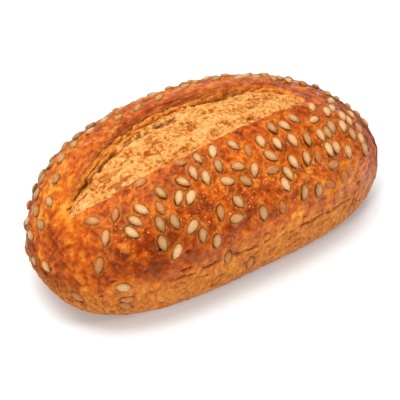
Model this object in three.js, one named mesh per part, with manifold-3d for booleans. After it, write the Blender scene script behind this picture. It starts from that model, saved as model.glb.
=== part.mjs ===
// A seeded bloomer: one baked loaf with a long opened slash, and sunflower kernels pressed into its crust.
// Millimetres, +Z up. The loaf lies along X, and the origin is the middle of its footprint, at the base.
// Places on the crust are angles seen from the loaf's heart: latitude runs from one end (-90) to the
// other (+90), and longitude runs round the loaf, from 0 along the crown to -90 on the near side.

import * as THREE from "three";
import { mergeVertices } from "three/addons/utils/BufferGeometryUtils.js";
import Module from "manifold-3d";

// The loaf's form.
const LENGTH = 249;
const WIDTH = 142;
const HEIGHT = 93.5;
const WAIST_HEIGHT = 31.5; // the loaf is widest this high above its base
const BASE_PRESSED = 1.5; // depth of the round underside that the oven floor kept flat
const PLAN_POWER = 2.5; // superellipse powers: 2 is an ellipse, and more is squarer
const CROWN_POWER = 2.47;
const UNDERSIDE_POWER = 3.1;
const CROWN_FALL = 0.066; // share of the crown's height lost from the middle to the +X end
const CROWN_SAG = 0.054; // share lost towards both ends
const BOW = 10.5; // how far both ends bend towards -Y

// The slash, which opened in the oven. Its edges are longitudes that part in the middle and meet at its ends.
const SLASH_START = -53;
const SLASH_END = 35.5;
const NEAR_EDGE = { at: -8, swing: -13, skew: 0.75, fullness: 0.6 };
const FAR_EDGE = { at: -6, swing: 25, skew: 1.25, fullness: 0.4 };
const CRUMB_DEPTH = 1.2; // the opened crumb lies this far below the crust's edge
const TEAR_DEPTH = 4.5; // and this far below it under the far lip, where the crust tore away
const TEAR_FROM = 0.62; // share of the opening's width at which the tear starts to fall
const LIP_RISE = 1.8; // the far lip stands proud of the loaf
const LIP_FADE = 9; // degrees of longitude over which the lip runs out into the crust
const EDGE_STEP = 1.3; // degrees of longitude that the steep edges of the opening take

// A hulled sunflower kernel.
const KERNEL_LENGTH = 10;
const KERNEL_WIDTH = 5.5;
const KERNEL_THICKNESS = 3.2;
const KERNEL_TAPER = 0.1; // share of its section that it loses at the pointed end, and gains at the blunt end
const KERNEL_PROUD = 0.4; // height of its middle above the crust
const POCKET_GAP = 0.35; // clear space between a kernel and its dent in the crust

// Facets. The grid round the loaf has a line along each edge of the slash, this many steps from the crown.
const LOAF_STEPS_ROUND = 64;
const LOAF_STEPS_ALONG = 36;
const STEPS_TO_NEAR_EDGE = -5;
const STEPS_TO_FAR_EDGE = 5;
const TIP_SHARE = 0.06; // the grid stops following the edges this close to the slash's pointed ends
const KERNEL_STEPS_ROUND = 8;
const KERNEL_STEPS_ALONG = 4;
const SLOPE_STEP = 0.5; // degrees between the points that give the crust's slope
const POLE = 89.9; // degrees of latitude past which a vertex is one of the loaf's two end points

// Where the kernels landed: [latitude, longitude, turn], in degrees. At turn 0 a kernel points straight
// down the side, and a positive turn leans its point towards -X. Rows run from low to high.
const KERNEL_PLACES = [
  [-46, -78, 108], [-27, -65, 42], [-15, -69, 16], [-18.5, -62, 19],
  [-7.5, -61.5, -78], [1, -65, -4], [15.5, -63.5, 16], [20.5, -66, 6],

  [-51.5, -55, 36], [-30, -57, 3], [-20.5, -55.5, 58], [-11.5, -55, 16],
  [-5.5, -53.5, -26], [10, -55, -15], [12, -50, -14], [27.5, -55, -85],
  [35, -51, 6], [44, -54, 0], [-24.5, -49, -2], [-28.5, -47, -1],

  [-45, -39, 31], [-37, -44, -34], [-34.5, -39.5, -39], [-20.5, -39, 38], [-17.5, -41.5, 49],
  [-6, -42, -66], [-1, -45.5, -42], [3, -42, 30], [8, -45.5, -80], [15, -45.5, -9],
  [19.5, -46, 12], [28, -45.5, 8], [31, -46, 15], [41, -41, 25],

  [-31.5, -35.5, -37], [-24.5, -32.5, -15], [-17.5, -33, -40], [-13.5, -31, 6], [-11, -36, 13],
  [-6, -33, 17], [-1, -37.5, -68], [9.5, -38.5, -38], [13.5, -33.5, 2], [18.5, -34.5, -5],
  [23, -36.5, 13], [28, -36.5, 5], [31, -36, 13], [34, -33, 20], [39, -34, 28], [47, -38, 18],
  [9.5, -29.5, 8],

  [-46.5, -25, -55], [-28, -22, 80], [-5, -25, 28], [15.5, -24, 0], [19.5, -25, -15],
  [30, -26, 85], [43, -26, 27], [38, -21, 42],
];

const { clamp, degToRad, mapLinear, radToDeg, smoothstep } = THREE.MathUtils;

// The unit vector from the loaf's heart towards a latitude and longitude.
function heading(latitude, longitude) {
  const [along, round] = [degToRad(latitude), degToRad(longitude)];
  return new THREE.Vector3(
    Math.sin(along),
    Math.cos(along) * Math.sin(round),
    Math.cos(along) * Math.cos(round),
  );
}

// The smooth form, without its slash: a superellipsoid with a tall crown and a shallow, tucked-in
// underside, bowed in plan, lower towards its ends, and flat where it stands.
function formPoint(latitude, longitude) {
  const out = heading(latitude, longitude);
  const onCrown = out.z >= 0;
  const power = onCrown ? CROWN_POWER : UNDERSIDE_POWER;
  const depth = onCrown ? HEIGHT - WAIST_HEIGHT : WAIST_HEIGHT + BASE_PRESSED;
  const plan = Math.abs(out.x) ** PLAN_POWER + Math.abs(out.y) ** PLAN_POWER;
  const reach = (plan ** (power / PLAN_POWER) + Math.abs(out.z) ** power) ** (-1 / power);
  const share = out.x * reach;
  const crown = onCrown ? 1 - CROWN_FALL * share - CROWN_SAG * share ** 2 : 1;
  return new THREE.Vector3(
    (share * LENGTH) / 2,
    (out.y * reach * WIDTH) / 2 - BOW * share ** 2,
    Math.max(WAIST_HEIGHT + out.z * reach * depth * crown, 0),
  );
}

// The crust's frame at a place: its point, its outward normal, and the direction that climbs the side.
function crustFrame(latitude, longitude) {
  const point = formPoint(latitude, longitude);
  const along = formPoint(latitude + SLOPE_STEP, longitude).sub(formPoint(latitude - SLOPE_STEP, longitude));
  const climb = formPoint(latitude, longitude + SLOPE_STEP).sub(formPoint(latitude, longitude - SLOPE_STEP));
  const normal = along.cross(climb).normalize();
  return { point, normal, climb: climb.normalize() };
}

// The longitude of one edge of the slash, a given share of the way along it.
function edgeLongitude(edge, share) {
  return edge.at + edge.swing * Math.sin(Math.PI * share ** edge.skew) ** edge.fullness;
}

// How far the slash raises or lowers the crust at a place.
function slashRelief(latitude, longitude) {
  const share = (latitude - SLASH_START) / (SLASH_END - SLASH_START);
  if (share <= 0 || share >= 1) return 0;
  const near = edgeLongitude(NEAR_EDGE, share);
  const far = edgeLongitude(FAR_EDGE, share);
  const tear = smoothstep((longitude - near) / (far - near), TEAR_FROM, 1);
  const pastNear = clamp((longitude - near) / EDGE_STEP, 0, 1);
  const pastFar = clamp((longitude - far) / EDGE_STEP, 0, 1);
  const sink = (CRUMB_DEPTH + (TEAR_DEPTH - CRUMB_DEPTH) * tear) * pastNear * (1 - pastFar);
  const lip = LIP_RISE * pastFar * Math.exp(-Math.max(longitude - far, 0) / LIP_FADE);
  return (lip - sink) * Math.sqrt(Math.sin(Math.PI * share));
}

// The longitude of a grid line, counted in steps from the crown, where it crosses a latitude.
function gridLongitude(step, latitude) {
  const halfTurn = LOAF_STEPS_ROUND / 2;
  const share = (latitude - SLASH_START) / (SLASH_END - SLASH_START);
  const followed = clamp(share, TIP_SHARE, 1 - TIP_SHARE);
  const near = edgeLongitude(NEAR_EDGE, followed);
  const far = edgeLongitude(FAR_EDGE, followed);
  const lines = [
    [-halfTurn, -180],
    [STEPS_TO_NEAR_EDGE, near],
    [STEPS_TO_NEAR_EDGE + 1, near + EDGE_STEP],
    [STEPS_TO_FAR_EDGE, far],
    [STEPS_TO_FAR_EDGE + 1, far + EDGE_STEP],
    [halfTurn, 180],
  ];
  const next = Math.max(lines.findIndex(([at]) => step <= at), 1);
  const [[fromStep, fromLongitude], [toStep, toLongitude]] = [lines[next - 1], lines[next]];
  return mapLinear(step, fromStep, toStep, fromLongitude, toLongitude);
}

// The loaf: a sphere with its poles at the loaf's ends, each of its vertices moved to the crust.
function loafGeometry() {
  const geometry = new THREE.SphereGeometry(1, LOAF_STEPS_ROUND, LOAF_STEPS_ALONG);
  geometry.rotateZ(-Math.PI / 2);
  const place = geometry.getAttribute("position");
  for (let i = 0; i < place.count; i++) {
    const out = new THREE.Vector3().fromBufferAttribute(place, i);
    const latitude = radToDeg(Math.asin(clamp(out.x, -1, 1)));
    const step = Math.round((Math.atan2(out.y, out.z) / (2 * Math.PI)) * LOAF_STEPS_ROUND);
    const longitude = Math.abs(latitude) < POLE ? gridLongitude(step, latitude) : 0;
    const relief = slashRelief(latitude, longitude);
    const point = formPoint(latitude, longitude);
    if (relief) point.addScaledVector(crustFrame(latitude, longitude).normal, relief);
    place.setXYZ(i, point.x, point.y, point.z);
  }
  return geometry;
}

// A kernel, or the dent that it leaves when a gap is given: a flattened teardrop pointing along its own Y.
function kernelGeometry(gap = 0) {
  const geometry = new THREE.SphereGeometry(1, KERNEL_STEPS_ROUND, KERNEL_STEPS_ALONG);
  const place = geometry.getAttribute("position");
  for (let i = 0; i < place.count; i++) {
    const tip = place.getY(i);
    const section = 1 - KERNEL_TAPER * tip;
    place.setXYZ(
      i,
      place.getX(i) * section * (KERNEL_WIDTH / 2 + gap),
      tip * (KERNEL_LENGTH / 2 + gap),
      place.getZ(i) * section * (KERNEL_THICKNESS / 2 + gap),
    );
  }
  geometry.computeVertexNormals();
  return geometry;
}

// The placing of a kernel: its point leads along the crust, and its flat side faces out of it.
function kernelMatrix([latitude, longitude, turn]) {
  const { point, normal, climb } = crustFrame(latitude, longitude);
  const tip = climb.negate().applyAxisAngle(normal, -degToRad(turn));
  const side = new THREE.Vector3().crossVectors(tip, normal);
  return new THREE.Matrix4()
    .makeBasis(side, tip, normal)
    .setPosition(point.addScaledVector(normal, KERNEL_PROUD));
}

const wasm = await Module();
wasm.setup();

// A closed geometry as a solid that can be cut, and back again.
function toSolid(geometry) {
  const bare = geometry.clone().deleteAttribute("normal").deleteAttribute("uv");
  const merged = mergeVertices(bare);
  const vertProperties = merged.getAttribute("position").array;
  const triVerts = new Uint32Array(merged.getIndex().array);
  return new wasm.Manifold(new wasm.Mesh({ numProp: 3, vertProperties, triVerts }));
}

function toGeometry(solid) {
  const { vertProperties, triVerts } = solid.getMesh();
  const geometry = new THREE.BufferGeometry();
  geometry.setAttribute("position", new THREE.BufferAttribute(vertProperties, 3));
  geometry.setIndex(new THREE.BufferAttribute(triVerts, 1));
  const faceted = geometry.toNonIndexed();
  faceted.computeVertexNormals();
  return faceted;
}

const crustMaterial = new THREE.MeshStandardMaterial({ color: 0xb8621f, roughness: 0.45, metalness: 0 });
const kernelMaterial = new THREE.MeshStandardMaterial({ color: 0xc9a878, roughness: 0.5, metalness: 0 });

const bloomer = new THREE.Group();
const dentGeometry = kernelGeometry(POCKET_GAP);
let dentedLoaf = toSolid(loafGeometry());

KERNEL_PLACES.forEach((where, i) => {
  const matrix = kernelMatrix(where);
  const kernel = new THREE.Mesh(kernelGeometry(), kernelMaterial.clone());
  kernel.name = `kernel_${String(i + 1).padStart(2, "0")}`;
  kernel.applyMatrix4(matrix);
  bloomer.add(kernel);
  dentedLoaf = dentedLoaf.subtract(toSolid(dentGeometry.clone().applyMatrix4(matrix)));
});

const loaf = new THREE.Mesh(toGeometry(dentedLoaf), crustMaterial);
loaf.name = "loaf";
bloomer.add(loaf);

// The origin goes to the middle of the footprint, at the base.
const box = new THREE.Box3().setFromObject(bloomer, true);
const middle = box.getCenter(new THREE.Vector3());
bloomer.position.set(-middle.x, -middle.y, -box.min.z);

export default bloomer;
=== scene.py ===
"""A seeded bloomer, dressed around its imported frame: the baked crust and its opened slash as one fine mesh,
and toasted sunflower kernels pressed into it. Blender's own unit is the metre, and lengths here are in
millimetres until a mesh is made. Places on the crust are angles seen from the loaf's heart: latitude runs
from one end (-90) to the other (+90), and longitude runs round the loaf, from 0 along the crown to -90 on the
near side."""

import math

import bmesh
import bpy
import numpy as np
from mathutils import Matrix, Vector, noise


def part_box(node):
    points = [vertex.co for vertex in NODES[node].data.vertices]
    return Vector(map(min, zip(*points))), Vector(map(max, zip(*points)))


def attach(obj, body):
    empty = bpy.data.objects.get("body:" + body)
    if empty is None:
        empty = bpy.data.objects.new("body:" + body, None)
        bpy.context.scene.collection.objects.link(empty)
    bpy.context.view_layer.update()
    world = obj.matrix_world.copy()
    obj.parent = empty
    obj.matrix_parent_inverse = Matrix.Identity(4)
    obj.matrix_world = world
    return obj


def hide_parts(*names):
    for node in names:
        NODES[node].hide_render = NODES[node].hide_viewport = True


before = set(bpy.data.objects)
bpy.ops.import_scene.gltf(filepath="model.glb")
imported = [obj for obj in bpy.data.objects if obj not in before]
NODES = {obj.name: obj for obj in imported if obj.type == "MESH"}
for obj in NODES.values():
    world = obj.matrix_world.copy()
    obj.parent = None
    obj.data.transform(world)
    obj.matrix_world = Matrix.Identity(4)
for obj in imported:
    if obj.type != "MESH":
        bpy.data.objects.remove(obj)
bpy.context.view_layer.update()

MM = 0.001

# ------------------------------------------------ the loaf's form, as the frame's solid has it

loaf_low, loaf_high = [np.array(corner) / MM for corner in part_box("loaf")]
LENGTH, WIDTH, HEIGHT = loaf_high - loaf_low
WAIST_HEIGHT = 31.5  # the loaf is widest this high above its base
BASE_PRESSED = 1.5  # depth of the round underside that the oven floor kept flat
PLAN_POWER, CROWN_POWER, UNDERSIDE_POWER = 2.5, 2.47, 3.1
CROWN_FALL, CROWN_SAG = 0.066, 0.054  # shares of the crown's height lost to the +X end, and to both ends
BOW = 10.5  # how far both ends bend towards -Y
HEART = np.array([0.0, 0.0, WAIST_HEIGHT])

SLASH_START, SLASH_END = -53.0, 35.5
NEAR_EDGE = dict(at=-8.0, swing=-13.0, skew=0.75, fullness=0.6)
FAR_EDGE = dict(at=-6.0, swing=25.0, skew=1.25, fullness=0.4)


def smooth(value, low, high):
    """0 below low, 1 above high, and an S curve between them."""
    share = np.clip((value - low) / (high - low), 0, 1)
    return share * share * (3 - 2 * share)


def hill(value, middle, spread):
    """A bell curve, 1 at its middle."""
    return np.exp(-(((value - middle) / spread) ** 2))


def form(latitude, longitude):
    """Points of the smooth form, without its slash."""
    along, round_ = np.radians(latitude), np.radians(longitude)
    out = np.stack([np.sin(along), np.cos(along) * np.sin(round_), np.cos(along) * np.cos(round_)], -1)
    x, y, z = out[..., 0], out[..., 1], out[..., 2]
    power = np.where(z >= 0, CROWN_POWER, UNDERSIDE_POWER)
    depth = np.where(z >= 0, HEIGHT - WAIST_HEIGHT, WAIST_HEIGHT + BASE_PRESSED)
    plan = np.abs(x) ** PLAN_POWER + np.abs(y) ** PLAN_POWER
    reach = (plan ** (power / PLAN_POWER) + np.abs(z) ** power) ** (-1 / power)
    share = x * reach
    crown = np.where(z >= 0, 1 - CROWN_FALL * share - CROWN_SAG * share**2, 1)
    height = np.maximum(WAIST_HEIGHT + z * reach * depth * crown, 0)
    return np.stack([share * LENGTH / 2, y * reach * WIDTH / 2 - BOW * share**2, height], -1)


def crust_frame(latitude, longitude, step=0.5):
    """Points of the form, their outward normals, and the directions that climb the side."""
    along = form(latitude + step, longitude) - form(latitude - step, longitude)
    climb = form(latitude, longitude + step) - form(latitude, longitude - step)
    normal = np.cross(along, climb)
    normal /= np.maximum(np.linalg.norm(normal, axis=-1, keepdims=True), 1e-9)
    climb /= np.maximum(np.linalg.norm(climb, axis=-1, keepdims=True), 1e-9)
    return form(latitude, longitude), normal, climb


def slash_share(latitude):
    return (latitude - SLASH_START) / (SLASH_END - SLASH_START)


def edge(side, share):
    """The longitude of one edge of the slash."""
    inside = np.clip(share, 0, 1)
    return side["at"] + side["swing"] * np.sin(np.pi * inside ** side["skew"]) ** side["fullness"]


def grain(points, size, seed, octaves=1):
    """Smooth noise over points, about -1 to 1, with features of a given size."""
    offset = Vector((seed * 17.3, seed * 5.1, seed * 9.7))
    if octaves == 1:
        return np.array([noise.noise(Vector(p) / size + offset) for p in points])
    return np.array([noise.fractal(Vector(p) / size + offset, 0.6, 2.1, octaves) for p in points])


# ------------------------------------------------ kernels: where they lie

KERNEL_LENGTH, KERNEL_WIDTH, KERNEL_THICKNESS = 10.0, 5.5, 3.2
KERNEL_PROUD = 0.4  # height of a kernel's middle above the crust

# More kernels beside the frame's own: [latitude, longitude, turn], in degrees. At turn 0 a kernel's point
# leads straight down its side of the loaf, and a positive turn swings it clockwise, as seen from outside.
# Where no turn is given, the kernel lies roughly along the far rim.
SITTING = [
    [-10, -25, -4], [1.5, -26, -25], [24, -22, -22], [42, -18, 38], [34, -16, 35], [50, -24, 30],
    [44.5, -46, 20], [44.5, -30.5, 25], [46.5, -8.5, 60], [55, 2, 50], [59, -7, 50], [60.5, -19, 40],
    [62, -31, 30], [-10.5, 27.5], [-3, 28], [7, 31], [11.5, 34], [17, 30], [23, 25.5], [28, 23],
    [33, 20, 15], [36, 23, 15], [38, 18.5, 15], [40, 24, 15], [43.5, 17, 20], [50, 20, 30], [52, 8, 35],
    [26, 28], [32, 28, 10], [21, 34], [16, 37], [8.5, 38], [4.5, 40], [-2, 37], [-6, 38], [-12.5, 38],
    [-16, 38], [-17, 28], [-19.5, 35], [-22, 42], [-25, 34], [-27, 43], [-31.5, 34.5], [-32.5, 44],
    [-37.5, 34], [-39.5, 43], [-45, 25], [-45.5, 42], [-51.5, 41], [-53.5, 19, 25], [-58.5, 33],
    [-62, 55, 0], [-63.5, 20, 20], [-70, 75, 0], [-81, 75, 0], [-81.5, -20, 0],
]
# Kernels with egg wash over them: the last number is the share of the kernel that the wash colours.
WASHED = [
    [4.5, -31.5, 12, 0.6], [-15, -23, -72, 0.6], [-26.5, -39.5, -8, 0.55], [-39, -30, 35, 0.6],
    [23.5, -47.5, 15, 0.75], [25, -65.5, -60, 0.95], [31, -65.5, 10, 0.9], [34, -62.5, 10, 0.9],
    [27.5, -76.5, 10, 0.9], [7.5, -66.5, 0, 0.7],
]
# The same share for some of the frame's own kernels, by number.
WASH_ON_NODES = {3: 0.2, 5: 0.35, 9: 0.4, 11: 0.2, 12: 0.3, 16: 0.35, 21: 0.25, 26: 0.15, 27: 0.25, 29: 0.6,
                 41: 0.2, 42: 0.2, 44: 0.1, 52: 0.4, 53: 0.6}
# Pressed in level with the crust, low on the side, and baked in under the crust's skin.
FLUSH = [[-12, -84, 10], [-15.5, -104, 45], [-4, -102, 10], [-45, -94, 86], [-45, -106, 88], [-66, -97, -80],
         [35, -106, 10], [57, -64, 20]]
BURIED = [[-41, -51, -36], [-62.5, -64, -30], [-36, -84, 70], [17, -55.5, -50], [38.5, -71, 5]]


RIM_TURN, RIM_TURN_STEP, RIM_TURN_RANGE = 50, 37, 29  # degrees: each is a step on from the last, in a range


def with_turns(places):
    """The places, with a turn for each kernel on the rim."""
    on_rim = 0
    for place in places:
        if len(place) == 2:
            on_rim += 1
            place = place + [RIM_TURN + on_rim * RIM_TURN_STEP % RIM_TURN_RANGE]
        yield place


def kernel_place(latitude, longitude, turn, wash=0.0, sunk=0.0, size=1.0):
    """A kernel's middle and its own axes: side, tip and the way it faces."""
    point, normal, climb = crust_frame(np.float64(latitude), np.float64(longitude))
    downhill = climb * math.copysign(1, longitude)
    quarter = np.cross(downhill, normal)
    tip = np.cos(np.radians(turn)) * downhill + np.sin(np.radians(turn)) * quarter
    return dict(middle=point + normal * (KERNEL_PROUD - sunk), side=np.cross(tip, normal), tip=tip,
                face=normal, size=size, wash=wash)


def kernel_place_of(name):
    """The same, read from the frame's own kernel: its long axis, then its width, then its thickness. Its
    section is narrower towards its tip."""
    points = np.unique(np.round([v.co / MM for v in NODES[name].data.vertices], 3), axis=0)
    middle = points.mean(0)
    _, _, (tip, side, face) = np.linalg.svd(points - middle)
    width_leans = np.sum(np.abs((points - middle) @ side) * ((points - middle) @ tip))
    tip = -tip if width_leans > 0 else tip
    face = -face if (middle - HEART) @ face < 0 else face
    return dict(middle=middle, side=np.cross(tip, face), tip=tip, face=face, size=1.0,
                wash=WASH_ON_NODES.get(int(name[-2:]), 0.0))


FAR_SIDE_TRIES, APART = 2600, 10.5  # places tried on the far side, and the least distance between kernels


def scattered_places(taken):
    """Kernels on the far side and the ends, thinning out down the side, never closer than they can lie."""
    draw = np.random.default_rng(7)
    places = []
    middles = [p["middle"] for p in taken]
    for _ in range(FAR_SIDE_TRIES):
        latitude = np.degrees(np.arcsin(draw.uniform(-0.985, 0.985)))
        longitude = draw.uniform(44, 112)
        turn, size, luck = draw.normal(0, 32), draw.uniform(0.88, 1.06), draw.uniform()
        wash = 0.6 * (draw.uniform() < 0.18)
        wanted = (1 - smooth(longitude, 54, 86)) * 0.94 + 0.05
        if luck > wanted:
            continue
        place = kernel_place(latitude, longitude, turn, wash, size=size)
        if min(np.linalg.norm(place["middle"] - m) for m in middles) > APART:
            middles.append(place["middle"])
            places.append(place)
    return places


kernel_nodes = {name: kernel_place_of(name) for name in sorted(NODES) if name.startswith("kernel")}
draw = np.random.default_rng(3)
sitting = [kernel_place(*where, size=draw.uniform(0.88, 1.0)) for where in with_turns(SITTING)]
sitting += [kernel_place(*where, sunk=0.5 * where[3], size=0.92) for where in WASHED]
flush = [kernel_place(*where, wash=0.65, sunk=1.9, size=0.95) for where in FLUSH]
buried = [kernel_place(*where, sunk=1.5, size=0.95) for where in BURIED]
far_side = scattered_places(list(kernel_nodes.values()) + sitting)


# ------------------------------------------------ the loaf's fine mesh

STEPS_ROUND, STEPS_ALONG = 372, 250
# Grid lines that follow the slash's edges, in steps from the crown: the grid is fine between them, and on the
# near side, and coarse under the base.
NEAR_LINE, FAR_LINE, SIDE_STEPS, SIDE_LOW = -46, 46, 84, 113
MIDDLE_CROWDING = 0.35  # how much closer the grid's rings lie at the loaf's middle than at its ends


def grid_longitude(step, latitude):
    """The longitude of a grid line where it crosses a latitude."""
    share = np.clip(slash_share(latitude), 0.04, 0.96)
    near, far = edge(NEAR_EDGE, share), edge(FAR_EDGE, share)
    half = STEPS_ROUND // 2
    stops = [-half, NEAR_LINE - SIDE_STEPS, NEAR_LINE, FAR_LINE, FAR_LINE + SIDE_STEPS, half]
    lines = [near * 0 - 180, near * 0 - SIDE_LOW, near, far, far * 0 + SIDE_LOW, far * 0 + 180]
    longitude = np.zeros_like(latitude)
    for a, b, start, end in zip(stops, stops[1:], lines, lines[1:]):
        inside = (step >= a) & (step <= b)
        longitude = np.where(inside, start + (end - start) * (step - a) / (b - a), longitude)
    return longitude


CRUMB_DEPTH = 1.2  # the opened crumb lies this far below the crust's edge
TEAR_DEPTH = 3.0  # and this far below it along the tear, under the far lip
LIP_RISE, LIP_FADE = 1.8, 9.0  # the far lip's height, and the degrees over which it runs out into the crust
# Hollows under the torn lip and in the crumb: [latitude, longitude, half length, half width], in degrees, and
# depth in millimetres.
HOLLOWS = [
    [10.0, 12.2, 6.8, 2.5, 7.0], [4.0, 14.2, 2.8, 1.2, 4.0], [19.3, 12.0, 2.2, 1.3, 4.5],
    [24.5, 10.2, 1.2, 0.8, 2.5], [-18.5, 14.0, 3.0, 1.5, 5.0], [-13.0, 14.6, 2.6, 1.4, 5.0],
    [-5.5, 15.4, 3.2, 1.4, 4.5], [-25.0, 12.4, 2.4, 1.0, 4.0], [-51.0, -2.0, 1.2, 0.8, 2.4],
    [-46.5, 0.8, 1.6, 1.1, 3.2], [-43.0, 2.0, 0.8, 0.9, 2.6], [-40.5, 2.8, 1.8, 1.4, 4.2],
    [-35.0, 3.2, 1.2, 1.2, 3.4], [-32.4, 4.6, 0.8, 1.0, 3.0], [-30.5, 5.6, 1.5, 1.3, 3.8],
    [-22.5, 6.2, 1.3, 1.3, 4.2], [-19.0, 6.8, 1.0, 1.1, 3.6], [-15.8, 6.4, 0.8, 1.0, 3.0],
    [-11.5, 7.4, 1.8, 1.3, 3.0], [-7.0, 7.8, 1.4, 1.0, 2.4], [22.0, 4.6, 1.2, 1.2, 2.0],
    [31.0, 4.0, 1.0, 0.9, 2.2], [16.5, -4.5, 1.0, 1.2, 1.8], [13.5, -12.5, 0.9, 1.0, 1.6],
    [-4.0, -2.5, 0.8, 1.0, 1.6], [-26.0, -6.5, 0.8, 1.0, 1.4], [1.0, -12.0, 0.9, 0.9, 1.5],
]
# Strands that stayed whole when the crust tore: degrees inside the far edge, height in millimetres, and the
# latitudes where each begins and ends.
STRANDS = [(1.9, 2.2, -47, 1), (3.9, 2.6, -49, -2), (6.3, 1.8, -44, -12), (2.2, 1.6, 17, 34)]
# The side's broken crack and the shorter ones beside it: longitude, seed of its breaks, and how broken it is.
CRACKS = [(-84.5, 33, -0.35), (-80.0, 34, 0.2), (-91, 35, 0.25)]
CRACK_DEPTH, CRACK_WIDTH = 1.8, 0.85
# Small pits that burst open in the side: [latitude, longitude].
PITS = [[37, -83], [36.5, -91], [38.5, -77], [-24, -68], [-31, -60], [42, -86], [-55, -86], [-49, -72]]


def slash_layers(latitude, longitude, points):
    """The slash's relief in millimetres, how far the crust is opened, how dark the painted shade in its
    hollows and clefts is, how torn the crumb is, where the far lip rolled over and burnt, how high each crag
    of crumb is, and where the strands are."""
    share = slash_share(latitude)
    within = (share > 0) & (share < 1)
    fade = np.where(within, np.sin(np.pi * np.clip(share, 0, 1)) ** 0.5, 0)
    near, far = edge(NEAR_EDGE, share), edge(FAR_EDGE, share)
    lying = points * [0.55, 1, 1]  # noise read here is drawn out along the loaf
    frayed_near = near + 1.6 * grain(lying, 6, 15) + 0.9 * grain(lying, 2.2, 16)
    frayed_far = far + 0.7 * grain(lying, 3, 17)
    opened = (smooth(longitude, frayed_near, frayed_near + 1.3)
              * (1 - smooth(longitude, frayed_far, frayed_far + 0.9)) * within)

    # The crumb is craggy, and sinks towards the tear under the far lip, which stands proud of the crust.
    inside = far - longitude
    torn = (1 - smooth(inside + 0.8 * grain(points, 5, 18), 4.5, 7.5)) * opened
    crumb = 1.3 * grain(lying, 8, 21) + 1.1 * grain(lying, 3.4, 22) + 0.6 * grain(points, 1.9, 23)

    depth = CRUMB_DEPTH + (TEAR_DEPTH - CRUMB_DEPTH) * (1 - smooth(inside, 2.5, 11))
    relief = opened * (-depth * fade + crumb * (1 - 0.6 * torn))
    lip = np.exp(-np.maximum(-inside, 0) / LIP_FADE) * smooth(-inside, -0.2, 0.9)
    relief += fade * LIP_RISE * lip * (1 + 0.3 * grain(lying, 9, 13))
    relief += fade * 0.45 * hill(longitude, near - 0.8, 1.2)

    # Hollows: one broken line of painted shade under the lip, and the larger ones listed above, each dented
    # and darkened with painted shade.
    hollow_shade = 0.95 * hill(inside, 0.7, 1.0) * fade * (0.5 + 0.5 * smooth(grain(lying, 5, 19), -0.35, 0.2))
    ragged = 1 + 0.5 * grain(points, 2.2, 14)
    for at_latitude, at_longitude, half_length, half_width, deep in HOLLOWS:
        away = np.hypot((latitude - at_latitude) / half_length, (longitude - at_longitude) / half_width)
        pit = 1 - smooth(away * ragged, 0.7, 1.5)
        relief -= pit * deep * opened
        hollow_shade = np.maximum(hollow_shade, pit * opened * min(1.0, deep / 4.5 + 0.25))
    # Golden strands run beside clefts, which are dented and darkened with painted shade.
    strands = np.zeros_like(latitude)
    for offset, high, first, last in STRANDS:
        line = offset * np.minimum(fade * 1.3, 1) + 0.55 * grain(lying, 7, 20) + 0.18 * grain(lying, 2.5, 24)
        reach = smooth(latitude, first, first + 5) * (1 - smooth(latitude, last - 6, last))
        strand = hill(inside, line, 0.62) * reach
        cleft = hill(inside, line + 1.05, 0.5) * reach * smooth(grain(lying, 4, 25 + offset), -0.3, 0.15)
        relief += opened * ((high - 0.6 * crumb) * strand - 1.3 * cleft)
        hollow_shade = np.maximum(hollow_shade * (1 - 0.95 * strand), 0.95 * cleft * opened)
        torn = np.maximum(torn, strand * opened)
        strands = np.maximum(strands, strand * fade)
    # The lip's edge is burnt, and creased in fine lines that run along the tear.
    lines = smooth(grain(np.stack([latitude / 11, inside / 0.7, latitude * 0], -1), 1, 12), -0.25, 0.2)
    burnt = hill(inside, -0.5, 2.2) * fade * (0.6 + 0.4 * lines)
    relief -= 0.7 * hill(inside, -1.0, 2.2) * fade * lines
    crag = crumb * opened
    burnt *= 1 - strands
    return relief, opened, hollow_shade, torn, burnt, crag, strands


def side_tear(latitude, longitude, points):
    """The broken crack along the lower near side, where the crust split above its foot, with the shorter
    ones beside it and the pits."""
    wander = 2.0 * grain(points, 14, 31) + 1.3 * grain(points, 3.2, 32)
    reach = smooth(latitude, -38, -26) * (1 - smooth(latitude, 30, 40))
    crack = np.zeros_like(latitude)
    for line, seed, broken in CRACKS:
        kept = smooth(grain(points * [0.7, 1, 1], 3.4, seed), broken, broken + 0.3)
        split = hill(longitude, line - 0.06 * latitude + wander, CRACK_WIDTH)
        crack = np.maximum(crack, split * reach * kept)
    for at_latitude, at_longitude in PITS:
        away = np.hypot((latitude - at_latitude) / 0.9, (longitude - at_longitude) / 1.6)
        crack = np.maximum(crack, 1 - smooth(away * (1 + 0.5 * grain(points, 2, 36)), 0.4, 1.1))
    return crack


BED_REACH = 11.0  # a kernel moves and colours no crust further from its middle than this


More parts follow.
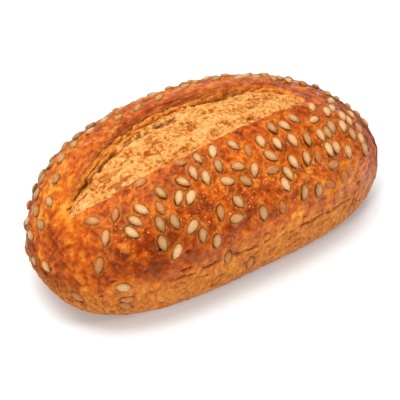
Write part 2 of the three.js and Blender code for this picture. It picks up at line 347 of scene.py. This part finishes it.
def kernel_beds(points):
    """Dents under the kernels and bumps over the buried ones, with a golden fillet of egg wash and a crease
    of painted shade round each, and a painted highlight on each bump. The painted shade in the crease lies
    below a kernel that stands proud, and above one that is pressed in."""
    relief, painted_crease_shade, fillet, bump_highlight = (np.zeros(len(points)) for _ in range(4))
    standing = list(kernel_nodes.values()) + sitting + far_side
    groups = dict(standing=standing, flush=flush, buried=buried)
    for kind, place in [(kind, place) for kind, places in groups.items() for place in places]:
        rel = points - place["middle"]
        close = np.flatnonzero((rel**2).sum(1) < BED_REACH**2)
        rel = rel[close]
        half_length = KERNEL_LENGTH / 2 * place["size"]
        half_width = KERNEL_WIDTH / 2 * place["size"]
        tip = rel @ place["tip"] / half_length
        side = rel @ place["side"] / half_width
        away = np.hypot(tip, side)
        level = np.array([0, 0, 1]) - place["face"] * place["face"][2]
        above = rel @ level / np.maximum(np.linalg.norm(rel, axis=1) * np.linalg.norm(level), 1e-6)
        if kind == "buried":
            relief[close] += 1.3 * (1 - smooth(away, 0.3, 1.15)) - 0.35 * hill(away, 1.25, 0.22)
            painted_crease_shade[close] = np.maximum(painted_crease_shade[close], 0.5 * hill(away, 1.2, 0.2) * smooth(-above, -0.3, 0.8))
            bump_highlight[close] = np.maximum(bump_highlight[close], 1 - smooth(away, 0.6, 1.1))
        elif kind == "flush":
            relief[close] -= 1.5 * (1 - smooth(away, 0.95, 1.35))
            shaded = 0.2 + 0.8 * smooth(above, -0.2, 0.7)
            painted_crease_shade[close] = np.maximum(painted_crease_shade[close], hill(away, 1.12, 0.22) * shaded)
        else:
            relief[close] += 0.45 * hill(away, 1.14, 0.26) - 0.8 * (1 - smooth(away, 0.6, 0.92))
            shaded = smooth(-above, -0.4, 0.8)
            painted_crease_shade[close] = np.maximum(painted_crease_shade[close], hill(away, 1.08, 0.16) * shaded)
            fillet[close] = np.maximum(fillet[close], 0.5 * hill(away, 1.28, 0.22))
    return relief, painted_crease_shade, fillet, bump_highlight


def toast_of(latitude, longitude):
    """How dark the crust baked, from 0 (pale gold) to 1 (deep reddish brown)."""
    down = np.abs(longitude)
    toast = 0.50 + 0.3 * hill(latitude, -38, 22) * hill(down, 62, 17)  # darkest on the -X shoulder
    toast += 0.12 * hill(latitude, 4, 26) * hill(down, 54, 15)  # half way down each side
    toast += 0.10 * hill(down, 27, 9) * hill(latitude, -12, 26)  # beside the slash
    toast += 0.24 * smooth(latitude, 40, 58) + 0.04 * smooth(latitude, 10, 34)  # the +X end
    toast += 0.14 * smooth(-latitude, 60, 74) * smooth(down, 40, 70)  # the -X end, low down
    toast -= 0.12 * hill(latitude, -54, 9) * hill(longitude, -2, 30)  # golden where the slash begins
    toast -= 0.2 * hill(latitude, 30, 20) * hill(down, 66, 17)  # and on the +X shoulder
    toast -= 0.17 * smooth(down, 74, 88) * smooth(latitude, -66, -30)  # and low down
    toast -= 0.12 * hill(longitude, 27, 15)  # and along the far rim
    toast -= 0.14 * hill(longitude, 24, 20) * hill(latitude, -46, 14)  # most of all towards its -X end
    return toast + 0.16 * hill(down, 124, 12)  # browner again where the side turns under


# Heights in millimetres: the loaf's broad swells, its dimples, the ripples of the washed skin, the grain of
# the low side and the wrinkles at the ends.
SWELLS, DIMPLES, RIPPLES, LOW_GRAIN, WRINKLES = 0.8, 0.5, 0.75, 0.45, 0.5


def make_loaf():
    """The whole loaf: a ball with its poles at the loaf's ends, each of its vertices moved to the crust."""
    ball = bmesh.new()
    ball.loops.layers.uv.new("OFBake")
    turn = Matrix.Rotation(math.radians(90), 4, "Y")
    bmesh.ops.create_uvsphere(ball, u_segments=STEPS_ROUND, v_segments=STEPS_ALONG, radius=1, matrix=turn,
                              calc_uvs=True)
    mesh = bpy.data.meshes.new("crust_and_crumb")
    ball.to_mesh(mesh)
    ball.free()

    out = np.empty(len(mesh.vertices) * 3)
    mesh.vertices.foreach_get("co", out)
    out = out.reshape(-1, 3)
    share = np.degrees(np.arcsin(np.clip(out[:, 0], -1, 1))) / 90
    latitude = 90 * (share - MIDDLE_CROWDING * np.sin(np.pi * share) / np.pi)
    pole = np.abs(share) > 0.9999
    step = np.round(np.arctan2(out[:, 1], out[:, 2]) / (2 * np.pi) * STEPS_ROUND)
    longitude = np.where(pole, 0, grid_longitude(step, latitude))

    points, normals, _ = crust_frame(latitude, longitude)
    normals[pole] = np.sign(out[pole]) * [1, 0, 0]
    relief, opened, hollow_shade, torn, burnt, crag, strands = slash_layers(latitude, longitude, points)
    tear = side_tear(latitude, longitude, points)
    beds, painted_crease_shade, fillet, bump_highlight = kernel_beds(points)

    height = points[:, 2]
    resting = height < 0.05  # the flat base, which stays flat
    low_side = smooth(np.abs(longitude) + 7 * grain(points, 16, 45), 68, 98)
    matt = np.maximum(0.8 * low_side, 0.9 * smooth(np.abs(latitude), 40, 58))
    matt = np.maximum(matt, 0.75 * smooth(longitude, 18, 38))
    skin = (1 - opened) * smooth(height, 0.5, 8)
    ends = smooth(np.abs(latitude), 52, 72)
    round_ = np.radians(longitude)
    lines_along = np.stack([latitude / 16, 9 * np.sin(round_), 9 * np.cos(round_)], -1)
    wrinkles = 1 - 2.2 * np.abs(grain(lines_along, 1, 41, 2))
    ripples = grain(points * [0.75, 1, 1.2], 3.6, 44, 2)
    relief += skin * (SWELLS * grain(points, 34, 42) + DIMPLES * grain(points, 11, 43))
    relief += skin * RIPPLES * (1 - low_side) * (1 - 0.4 * matt) * ripples
    relief += skin * LOW_GRAIN * low_side * grain(points * [0.8, 0.8, 1], 3.1, 46, 2)
    relief += skin * WRINKLES * ends * wrinkles
    torn_up = 0.4 * hill(tear, 0.35, 0.25) * (tear > 0.02)  # the crack's edges curl up a little
    relief += (beds - CRACK_DEPTH * tear + torn_up) * (1 - opened)
    points = points + normals * np.where(resting, 0, relief)[:, None]
    points[:, 2] = np.maximum(points[:, 2], 0)

    mesh.vertices.foreach_set("co", (points * MM).ravel())
    layers = dict(opened=opened, torn=torn, crag=crag, strands=strands, burnt=burnt,
                  # painted shade in the slash's hollows and clefts, and in the side's cracks and pits
                  hollow_shade=np.maximum(hollow_shade, tear * (1 - opened)),
                  painted_crease_shade=painted_crease_shade * (1 - opened), fillet=fillet * (1 - opened), painted_bump_highlight=bump_highlight,
                  # the crust is painted paler on the ripples' crests: painted light
                  toast=toast_of(latitude, longitude) + 0.08 * ends * wrinkles - 0.12 * ripples,
                  foot=1 - smooth(height, 0.0, 2.5), low_side=low_side, matt=matt)
    for name, values in layers.items():
        layer = mesh.attributes.new(name, "FLOAT", "POINT")
        layer.data.foreach_set("value", values.astype(np.float32))
    mesh.update()
    mesh.shade_smooth()
    return mesh


# ------------------------------------------------ kernels: their shape

NIB = 0.2  # length of the beak at a kernel's tip, as a share of half its length
PLUMPNESS = 0.51  # 0.5 gives round ends, and more gives pointed ones


def add_kernels(name, places, rings, spokes, seed):
    """Kernels in one mesh, each a little different in size, bend and thickness. Each is a plump oval, pointed
    at both ends, with a small beak at its tip. They are mostly a little shorter and plumper than the size
    that the frame's own kernels share."""
    whole = bmesh.new()
    draw = np.random.default_rng(seed)
    tints, washes, painted_edge_shades = [], [], []
    turn = Matrix.Rotation(math.radians(-90), 4, "X")
    for place in places:
        ball = bmesh.new()
        ball.loops.layers.uv.new("along_kernel")
        bmesh.ops.create_uvsphere(ball, u_segments=spokes, v_segments=rings, radius=1, matrix=turn,
                                  calc_uvs=True)
        length = KERNEL_LENGTH / 2 * place["size"] * draw.uniform(0.86, 0.96)
        width = KERNEL_WIDTH / 2 * place["size"] * draw.uniform(0.98, 1.14)
        thick = KERNEL_THICKNESS / 2 * draw.uniform(1.05, 1.25)
        bend, lean, tint = draw.normal(0, 0.05), draw.normal(0, 0.05), draw.uniform()
        for vert in ball.verts:
            x, y, z = vert.co
            round_ = math.atan2(z, x)
            lumps = 0.05 * math.cos(4 * round_ + 9 * tint) + 0.04 * math.cos(9 * y + 7 * tint)
            fill = max(1 - y * y, 0) ** (PLUMPNESS - 0.5) * (1 - 0.08 * y) * (1 + lumps)
            beak = NIB * float(smooth(y, 0.9, 1.0)) - 0.3 * NIB * float(smooth(-y, 0.93, 1.0))
            local = (
                place["side"] * (x * fill * width + bend * length * (y * y - 0.4))
                + place["tip"] * (y + beak) * length
                + place["face"] * (z * fill * thick * (1.0 if z > 0 else 0.8) + lean * length * y)
            )
            vert.co = Vector((place["middle"] + local) * MM)
            tints.append(tint)
            washes.append(place["wash"])
            # painted shade, from 1 on the kernel's underside to 0 at its top
            painted_edge_shades.append(1 - max(z, 0))
        piece = bpy.data.meshes.new("loose")
        ball.to_mesh(piece)
        ball.free()
        whole.from_mesh(piece)
        bpy.data.meshes.remove(piece)
    bmesh.ops.recalc_face_normals(whole, faces=whole.faces)
    mesh = bpy.data.meshes.new(name)
    whole.to_mesh(mesh)
    whole.free()
    for layer_name, values in dict(tint=tints, wash=washes, rim=painted_edge_shades).items():
        layer = mesh.attributes.new(layer_name, "FLOAT", "POINT")
        layer.data.foreach_set("value", np.array(values, dtype=np.float32))
    mesh.shade_smooth()
    return mesh


# ------------------------------------------------ materials

def srgb(code):
    """A linear colour from its sRGB hex code."""
    parts = [int(code[i:i + 2], 16) / 255 for i in (1, 3, 5)]
    return tuple(p / 12.92 if p <= 0.04045 else ((p + 0.055) / 1.055) ** 2.4 for p in parts) + (1.0,)


def add(tree, kind, inputs=(), stops=(), **settings):
    """A node with its settings, its inputs as values or links, and the colour stops of a ramp."""
    made = tree.nodes.new(kind)
    for key, value in settings.items():
        setattr(made, key, value)
    for at, code in stops[2:]:
        made.color_ramp.elements.new(at)
    for element, (at, code) in zip(made.color_ramp.elements if stops else (), stops):
        element.position, element.color = at, srgb(code)
    for key, value in dict(inputs).items():
        if isinstance(value, bpy.types.NodeSocket):
            tree.links.new(value, made.inputs[key])
        else:
            made.inputs[key].default_value = value
    return made.outputs


def blank(name):
    material = bpy.data.materials.new(name)
    material.use_nodes = True
    material.node_tree.nodes.clear()
    return material, material.node_tree


def bread_material():
    """Egg-washed bread crust with its opened crumb. The wash gives the crown a wet gloss that breaks into
    small sparkles on its ripples, and its colour runs from gold through orange to red brown, as sugar browns.
    The ripples are also painted paler on their crests and darker in their troughs, and pale flecks of painted
    highlight stand in for more glints. The ends and the far side are duller. The low side missed the wash,
    and is matt tan with dark flecks. The crumb is matt, orange tan, with pores and toasted patches, and the
    torn lip is burnt red brown with golden strands. Painted shade darkens the hollows, clefts, side cracks,
    pores, the crumb's low spots and the creases round the kernels, and a painted highlight lies on the bumps
    over buried kernels."""
    material, tree = blank("egg_washed_crust_and_crumb")
    place = add(tree, "ShaderNodeTexCoord")["Object"]
    mm = add(tree, "ShaderNodeVectorMath", {0: place, "Scale": 1 / MM}, operation="SCALE")["Vector"]
    lying = add(tree, "ShaderNodeMapping", {"Vector": mm, "Scale": (0.5, 1, 1)})["Vector"]
    upright = add(tree, "ShaderNodeMapping", {"Vector": mm, "Scale": (1, 1, 0.65)})["Vector"]
    drawn = add(tree, "ShaderNodeMapping", {"Vector": mm, "Scale": (0.14, 1, 1)})["Vector"]
    mask = {name: add(tree, "ShaderNodeAttribute", attribute_name=name)["Fac"]
            for name in ("opened", "torn", "hollow_shade", "burnt", "painted_crease_shade", "fillet", "painted_bump_highlight", "toast",
                         "foot", "crag", "strands", "low_side", "matt")}

    def cloud(size, detail=3.0, rough=0.55, shape=mm, bent=0.0):
        return add(tree, "ShaderNodeTexNoise", {"Vector": shape, "Scale": 1 / size, "Detail": detail,
                                                "Roughness": rough, "Distortion": bent})["Fac"]

    def spots(apart):
        cells = {"Vector": mm, "Scale": 1 / apart, "Randomness": 1.0}
        return add(tree, "ShaderNodeTexVoronoi", cells)["Distance"]

    def math_(operation, *values, clamp=False):
        return add(tree, "ShaderNodeMath", dict(enumerate(values)), operation=operation, use_clamp=clamp)[0]

    def between(value, low, high, to_low=0.0, to_high=1.0):
        return add(tree, "ShaderNodeMapRange", {"Value": value, "From Min": low, "From Max": high,
                                                "To Min": to_low, "To Max": to_high})["Result"]

    def mix(factor, a, b):
        return add(tree, "ShaderNodeMix", {0: factor, 6: a, 7: b}, data_type="RGBA")[2]

    def ramp(value, *stops):
        return add(tree, "ShaderNodeValToRGB", {"Fac": value}, stops=stops)["Color"]

    # Crust: browned by place, then by patches a finger and a kernel wide, and painted paler on its ripples'
    # crests and darker in their troughs, as painted light and shade.
    broad, patchy, ripple = cloud(17, 2), cloud(6.0, 2, 0.5, bent=0.3), cloud(3.6, 1.2, 0.4, bent=0.4)
    toast = math_("MULTIPLY_ADD", math_("SUBTRACT", broad, 0.5), 0.85, mask["toast"])
    toast = math_("MULTIPLY_ADD", math_("SUBTRACT", patchy, 0.5), 0.9, toast)
    toast = math_("MULTIPLY_ADD", math_("SUBTRACT", 0.5, ripple), 0.8, toast)
    crust = ramp(toast, (0.0, "#DE9536"), (0.22, "#C97019"), (0.42, "#B2500A"), (0.6, "#983D04"),
                 (0.78, "#7E2B02"), (1.0, "#602003"))
    # Pale flecks: painted highlights that stand in for glints on the wash, and also small blisters in the
    # relief below.
    blister_and_painted_glint = math_("MULTIPLY", between(spots(3.4), 0.2, 0.08), between(cloud(7, 1), 0.5, 0.6))
    crust = mix(math_("MULTIPLY", blister_and_painted_glint, 0.55), crust, srgb("#E7A765"))
    crust = mix(math_("MULTIPLY", mask["fillet"], 0.6), crust, srgb("#D88A2C"))
    # Painted highlight on the crust's bumps over buried kernels.
    crust = mix(math_("MULTIPLY", mask["painted_bump_highlight"], 0.55), crust, srgb("#D07C24"))

    # Low side: tan, mottled, with dark flecks drawn out along the loaf, which also sink a little in the
    # relief.
    tan = ramp(cloud(2.6, 4, 0.7, upright, 0.5), (0.3, "#803C0C"), (0.46, "#AC611C"), (0.68, "#CF8C3F"))
    flecks = between(cloud(2.6, 3, 0.6, lying), 0.58, 0.66)
    tan = mix(math_("MULTIPLY", flecks, 0.85), tan, srgb("#6E2F0A"))
    crust = mix(math_("MULTIPLY", mask["low_side"], 0.72), crust, tan)
    # Painted shade in the crease round each kernel.
    crust = mix(math_("MULTIPLY", mask["painted_crease_shade"], 0.85), crust, srgb("#551D04"))

    # Crumb: orange tan, with toasted patches that run along the loaf and pores. Real pores are finer than a
    # millimetre, and these are drawn about twice as wide, so that they show.
    # The crumb's colour follows its crags: painted shade in the low spots, paler on the tops.
    crumb_tone_and_shade = math_("MULTIPLY_ADD", mask["crag"], 0.13, cloud(2.6, 3, 0.65))
    crumb = ramp(crumb_tone_and_shade, (0.27, "#84400E"), (0.4, "#B46C2A"), (0.5, "#C98B47"), (0.72, "#DEA968"))
    toasted = between(cloud(7.0, 2.5, 0.5, lying, 0.8), 0.6, 0.645)
    crumb = mix(math_("MULTIPLY", toasted, 0.8), crumb, srgb("#943C0A"))
    pore = math_("MULTIPLY", between(spots(2.0), 0.26, 0.1), between(cloud(5.0, 1), 0.42, 0.56))
    # The pores are painted dark: painted shade inside them.
    crumb = mix(math_("MULTIPLY", pore, 0.75), crumb, srgb("#7E3C0C"))
    fibres = ramp(cloud(2.6, 3, 0.6, lying), (0.34, "#8E3808"), (0.46, "#C06214"), (0.62, "#E0923A"))
    crumb = mix(math_("MULTIPLY", mask["torn"], 0.85), crumb, fibres)

    colour = mix(mask["opened"], crust, crumb)
    # Lip and strands: dark and golden seams, drawn out along the tear.
    seams = cloud(1.5, 2, 0.5, drawn)
    scorched = math_("MULTIPLY", mask["burnt"], between(seams, 0.58, 0.42, 0.3, 1.0))
    colour = mix(scorched, colour, srgb("#6E1C03"))
    golden = math_("MULTIPLY", mask["strands"], between(seams, 0.42, 0.58, 0.05, 0.7))
    colour = mix(golden, colour, srgb("#D98A34"))
    # Painted shade in the slash's hollows and clefts, and in the side's cracks and pits.
    colour = mix(between(mask["hollow_shade"], 0.1, 0.95), colour, srgb("#431503"))
    colour = mix(math_("MULTIPLY", mask["foot"], 0.5), colour, srgb("#A8703A"))

    # Fine relief, in millimetres: ripples and blisters in the wash, mottling low down, pores in the crumb.
    skin = math_("MULTIPLY_ADD", ripple, 1.4, math_("MULTIPLY", blister_and_painted_glint, 0.25))
    mottling = math_("MULTIPLY_ADD", flecks, -0.6, cloud(2.0, 3, 0.6, upright))
    low_side = math_("MULTIPLY", mask["low_side"], 0.7)
    skin = add(tree, "ShaderNodeMix", {0: low_side, 2: skin, 3: mottling})[0]
    pores = math_("MULTIPLY_ADD", cloud(1.9, 3, 0.65), 1.2, math_("MULTIPLY", pore, -0.7))
    height = add(tree, "ShaderNodeMix", {0: mask["opened"], 2: skin, 3: pores})[0]
    relief = add(tree, "ShaderNodeBump", {"Height": height, "Strength": 1.0, "Distance": MM})["Normal"]

    gloss = between(cloud(9, 2), 0.35, 0.65, 0.12, 0.24)
    dull = math_("MAXIMUM", mask["opened"], mask["matt"])
    roughness = add(tree, "ShaderNodeMix", {0: dull, 2: gloss, 3: 0.75})[0]
    shader = add(tree, "ShaderNodeBsdfPrincipled", {
        "Base Color": colour, "Roughness": roughness, "Normal": relief, "IOR": 1.38,
        "Specular Tint": srgb("#FFCF98")})[0]
    add(tree, "ShaderNodeOutputMaterial", {"Surface": shader})
    return material


def kernel_material():
    """Toasted sunflower kernel: brownish beige flesh with faint lengthwise lines, painted darker towards its
    edge and underside as painted shade, a dull, slightly oily sheen, and amber egg wash over some of them."""
    material, tree = blank("toasted_sunflower_kernel")
    place = add(tree, "ShaderNodeTexCoord")["Object"]
    mm = add(tree, "ShaderNodeVectorMath", {0: place, "Scale": 1 / MM}, operation="SCALE")["Vector"]
    along = add(tree, "ShaderNodeUVMap", uv_map="along_kernel")["UV"]
    lines = add(tree, "ShaderNodeMapping", {"Vector": along, "Scale": (16, 1.2, 1)})["Vector"]
    streaks = add(tree, "ShaderNodeTexNoise", {"Vector": lines, "Scale": 1.0, "Detail": 2.0})["Fac"]
    flecks = add(tree, "ShaderNodeTexNoise", {"Vector": mm, "Scale": 1 / 1.6, "Detail": 2.0})["Fac"]
    tint, wash, rim = [add(tree, "ShaderNodeAttribute", attribute_name=name)["Fac"]
                       for name in ("tint", "wash", "rim")]

    def sum_of(value, share, rest):
        return add(tree, "ShaderNodeMath", {0: value, 1: share, 2: rest}, operation="MULTIPLY_ADD")[0]

    def part_of(value, low, high):
        return add(tree, "ShaderNodeMapRange", {"Value": value, "From Min": low, "From Max": high})["Result"]

    # Painted shade: each kernel darkens towards its edge and underside, so its top is painted lighter.
    tone = sum_of(rim, -1.3, sum_of(flecks, 0.9, sum_of(streaks, 1.2, tint)))
    flesh = add(tree, "ShaderNodeValToRGB", {"Fac": part_of(tone, -0.3, 1.85)}, stops=(
        (0.0, "#68390F"), (0.35, "#8F5E2E"), (0.65, "#AC7D48"), (1.0, "#C9A172")))["Color"]
    washed = part_of(sum_of(wash, 1.3, sum_of(flecks, 0.8, -0.4)), 0.05, 0.95)
    colour = add(tree, "ShaderNodeMix", {0: washed, 6: flesh, 7: srgb("#A55A10")}, data_type="RGBA")[2]
    relief = add(tree, "ShaderNodeBump", {"Height": sum_of(streaks, 0.5, flecks), "Strength": 1.0,
                                          "Distance": 0.7 * MM})["Normal"]
    shader = add(tree, "ShaderNodeBsdfPrincipled", {
        "Base Color": colour, "Roughness": 0.42, "Normal": relief, "IOR": 1.46})[0]
    add(tree, "ShaderNodeOutputMaterial", {"Surface": shader})
    return material


def plain_material(name, code, roughness):
    material, tree = blank(name)
    shader = add(tree, "ShaderNodeBsdfPrincipled", {"Base Color": srgb(code), "Roughness": roughness})[0]
    add(tree, "ShaderNodeOutputMaterial", {"Surface": shader})
    return material


# ------------------------------------------------ the pieces

def put(name, mesh, material, slot, *stands_for):
    """A finished piece on the loaf's one body."""
    piece = bpy.data.objects.new(name, mesh)
    bpy.context.scene.collection.objects.link(piece)
    mesh.materials.append(material)
    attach(piece, "root")
    if stands_for:
        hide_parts(*stands_for)
    return piece


bread = bread_material()
kernel_skin = kernel_material()
put("baked_loaf", make_loaf(), bread, "crust", "loaf")
for number, (name, place) in enumerate(kernel_nodes.items()):
    kernel = add_kernels(name + "_shape", [place], 12, 12, 100 + number)
    put("toasted_" + name, kernel, kernel_skin, "kernel", name)
other_kernels = (("rim", sitting, 10, 1), ("foot", flush, 10, 2), ("far_side", far_side, 8, 4))
for where, places, faces_round, seed in other_kernels:
    kernels = add_kernels(where + "_kernels", places, faces_round, faces_round, seed)
    put("toasted_kernels_" + where, kernels, kernel_skin, "kernel")


# ------------------------------------------------ floor, light and camera

def make_floor():
    sheet = bmesh.new()
    bmesh.ops.create_grid(sheet, x_segments=1, y_segments=1, size=6)
    mesh = bpy.data.meshes.new("studio_floor")
    sheet.to_mesh(mesh)
    sheet.free()
    mesh.materials.append(plain_material("white_studio_floor", "#EFF7FF", 0.9))
    floor = bpy.data.objects.new("studio_floor", mesh)
    bpy.context.scene.collection.objects.link(floor)


WARM_WHITE = (1.0, 0.95, 0.88)
LAMPS_AIM = (0, 0, 0.04)  # in metres, as are the places and sizes below
SOFTBOXES = [  # name, place, size and power in watts: small fills make small sparkles in the wash
    ("overhead_softbox", (-0.1, 0.12, 0.95), 1.05, 12.4),
    ("left_fill", (-1.05, -0.75, 0.85), 0.26, 9.4),
    ("right_fill", (0.75, -1.05, 0.8), 0.26, 6.5),
]
WORLD_STRENGTH = 0.4


def softbox(name, place, size, power):
    """A square soft light that faces the loaf."""
    lamp = bpy.data.lights.new(name, "AREA")
    lamp.shape, lamp.size, lamp.energy, lamp.color = "SQUARE", size, power, WARM_WHITE
    holder = bpy.data.objects.new(name, lamp)
    holder.location = place
    holder.rotation_euler = (Vector(LAMPS_AIM) - Vector(place)).to_track_quat("-Z", "Y").to_euler()
    bpy.context.scene.collection.objects.link(holder)


def look(azimuth, elevation, distance, target, aim_below, aim_left, lens):
    """The camera, seen from an azimuth off the near side and an elevation above the floor."""
    a, e = math.radians(azimuth), math.radians(elevation)
    back = Vector((math.sin(a) * math.cos(e), -math.cos(a) * math.cos(e), math.sin(e)))
    right = (-back).cross(Vector((0, 0, 1))).normalized()
    up = right.cross(-back)
    data = bpy.data.cameras.new("camera")
    data.lens, data.clip_start = lens, 0.01
    camera = bpy.data.objects.new("camera", data)
    camera.location = Vector(target) + back * distance
    aim = Vector(target) - up * aim_below - right * aim_left
    camera.rotation_euler = (aim - camera.location).to_track_quat("-Z", "Y").to_euler()
    bpy.context.scene.collection.objects.link(camera)
    bpy.context.scene.camera = camera


make_floor()
for lamp_settings in SOFTBOXES:
    softbox(*lamp_settings)
world = bpy.data.worlds.new("white_studio")
world.use_nodes = True
sky = world.node_tree.nodes["Background"].inputs
sky["Color"].default_value, sky["Strength"].default_value = (1, 1, 1, 1), WORLD_STRENGTH
bpy.context.scene.world = world
bpy.context.scene.view_settings.view_transform = "Standard"
look(azimuth=-35.0, elevation=39.03, distance=1.1003, target=(0, -0.0032, 0.045), aim_below=0.0141,
     aim_left=0.0009, lens=151.6)
